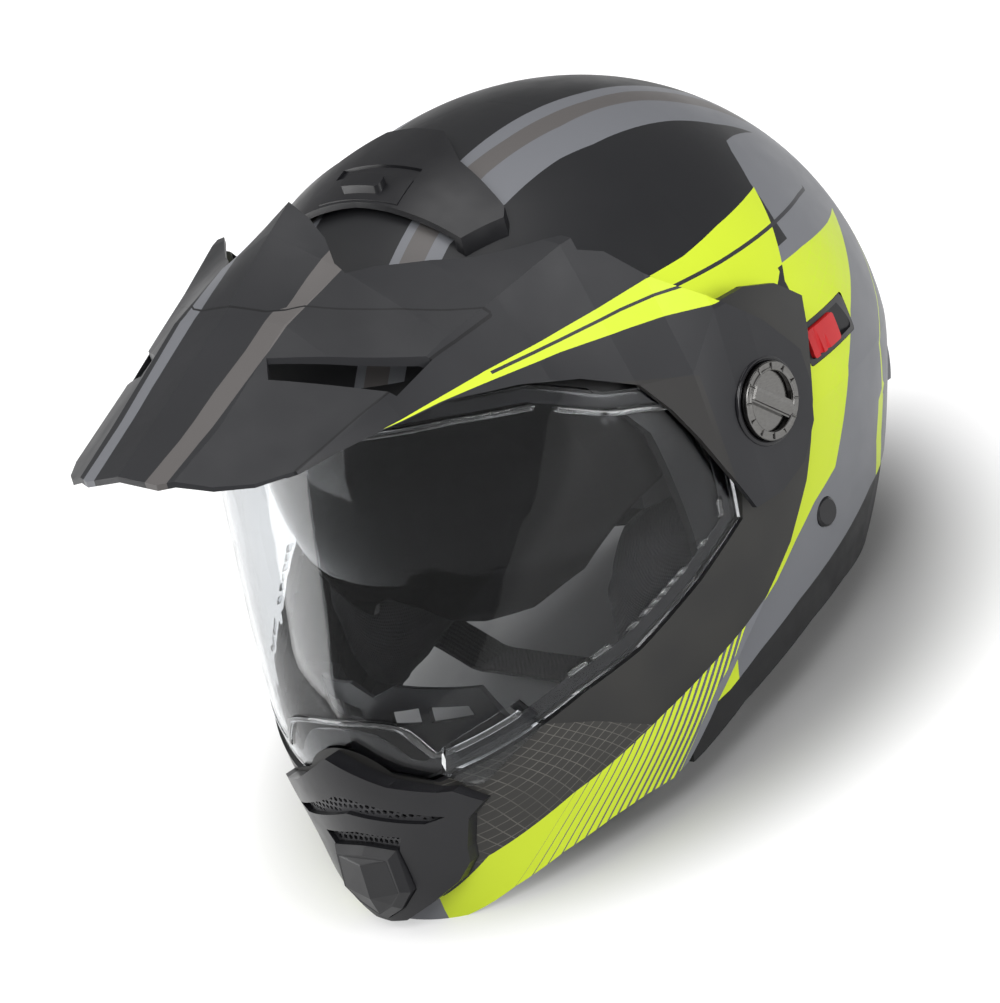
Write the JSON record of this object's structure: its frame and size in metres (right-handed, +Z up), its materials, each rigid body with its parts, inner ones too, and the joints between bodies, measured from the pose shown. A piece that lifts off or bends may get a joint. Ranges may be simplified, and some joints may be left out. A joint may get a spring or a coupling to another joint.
{
  "type": "modular adventure motorcycle helmet",
  "caption": "Dual sport helmet with flip-up chin bar, clear face shield, inner sun visor, adjustable peak, vents and padded lining",
  "frame": {"origin": "middle of the bounding box, on the plane the helmet stands on", "axes": "-Y faces forwards, +X is the wearer's left, +Z up; the helmet leans back onto chin and rear trim"},
  "size_m": [0.2672, 0.3658, 0.2693],
  "materials": {
    "shell_paint": "matt",
    "chin_paint": "matt",
    "peak_paint": "matt",
    "vent_black": "satin",
    "mesh_black": "matt",
    "foam_black": "matt",
    "pad_cloth": "matt",
    "trim_rubber": "matt",
    "clear_shield": "gloss",
    "smoked_visor": "gloss",
    "dark_chrome": "polished",
    "steel": "brushed",
    "red_lever": "satin",
    "strap_web": "matt"
  },
  "bodies": {
    "helmet": {"outer_shell": "shell_paint", "impact_liner": "foam_black", "crown_pad": "pad_cloth", "neck_roll": "pad_cloth", "cheek_pad_left": "pad_cloth", "cheek_pad_right": "pad_cloth", "edge_trim": "trim_rubber", "brow_seal": "trim_rubber", "pivot_post_left": "steel", "pivot_post_right": "steel", "top_vent_scoop": "vent_black", "rear_exhaust": "shell_paint", "side_plug_left": "vent_black", "side_plug_right": "vent_black", "lever_guide": "vent_black", "strap_left": "strap_web", "strap_right": "strap_web", "strap_buckle": "vent_black"},
    "sun_visor": {"sun_visor": "smoked_visor"},
    "visor_lever": {"visor_lever": "red_lever"},
    "top_vent_slider": {"top_vent_slider": "vent_black"},
    "chin_bar": {"chin_bar": "chin_paint", "chin_liner": "foam_black", "window_seal": "trim_rubber", "breath_guard": "vent_black", "chin_vent_cover": "vent_black", "chin_mesh_upper": "mesh_black", "chin_mesh_lower": "mesh_black", "release_base": "vent_black"},
    "chin_vent_toggle": {"chin_vent_toggle": "vent_black"},
    "release_button": {"release_button": "red_lever"},
    "face_shield": {"face_shield": "clear_shield"},
    "peak": {"peak": "peak_paint"},
    "peak_knob_left": {"peak_knob_left": "dark_chrome"},
    "peak_knob_right": {"peak_knob_right": "dark_chrome"}
  },
  "joints": [
    {"name": "chin_bar_flip", "type": "hinge", "parent": "helmet", "child": "chin_bar", "pos_m": [0, 0.01164, 0.13015], "axis": [-1, 0, 0], "range_deg": [0, 66]},
    {"name": "shield_lift", "type": "hinge", "parent": "chin_bar", "child": "face_shield", "pos_m": [0, 0.01164, 0.13015], "axis": [-1, 0, 0], "range_deg": [0, 35]},
    {"name": "peak_tilt", "type": "hinge", "parent": "chin_bar", "child": "peak", "pos_m": [0, 0.01164, 0.13015], "axis": [-1, 0, 0], "range_deg": [-2, 6]},
    {"name": "peak_knob_turn_left", "type": "hinge", "parent": "chin_bar", "child": "peak_knob_left", "pos_m": [0, 0.01164, 0.13015], "axis": [1, 0, 0], "range_deg": [0, 90]},
    {"name": "peak_knob_turn_right", "type": "hinge", "parent": "chin_bar", "child": "peak_knob_right", "pos_m": [0, 0.01164, 0.13015], "axis": [-1, 0, 0], "range_deg": [0, 90]},
    {"name": "sun_visor_swing", "type": "hinge", "parent": "helmet", "child": "sun_visor", "pos_m": [0, 0.01164, 0.13015], "axis": [-1, 0, 0], "range_deg": [0, 42]},
    {"name": "visor_lever_slide", "type": "slide", "parent": "helmet", "child": "visor_lever", "axis": [0, 0.9733, -0.2297], "range_m": [0, 0.012]},
    {"name": "top_vent_slide", "type": "slide", "parent": "helmet", "child": "top_vent_slider", "axis": [0, 0.9761, 0.2175], "range_m": [0, 0.006]},
    {"name": "chin_vent_slide", "type": "slide", "parent": "chin_bar", "child": "chin_vent_toggle", "axis": [0, 0.2297, 0.9733], "range_m": [0, 0.005]},
    {"name": "release_press", "type": "slide", "parent": "chin_bar", "child": "release_button", "axis": [0, -0.9733, 0.2297], "range_m": [0, 0.0035], "stiffness_N_per_m": 400, "springref_m": -0.001}
  ],
  "couplings": [
    {"joint": "visor_lever_slide", "follows": "sun_visor_swing", "m_per_rad": 0.01637}
  ]
}
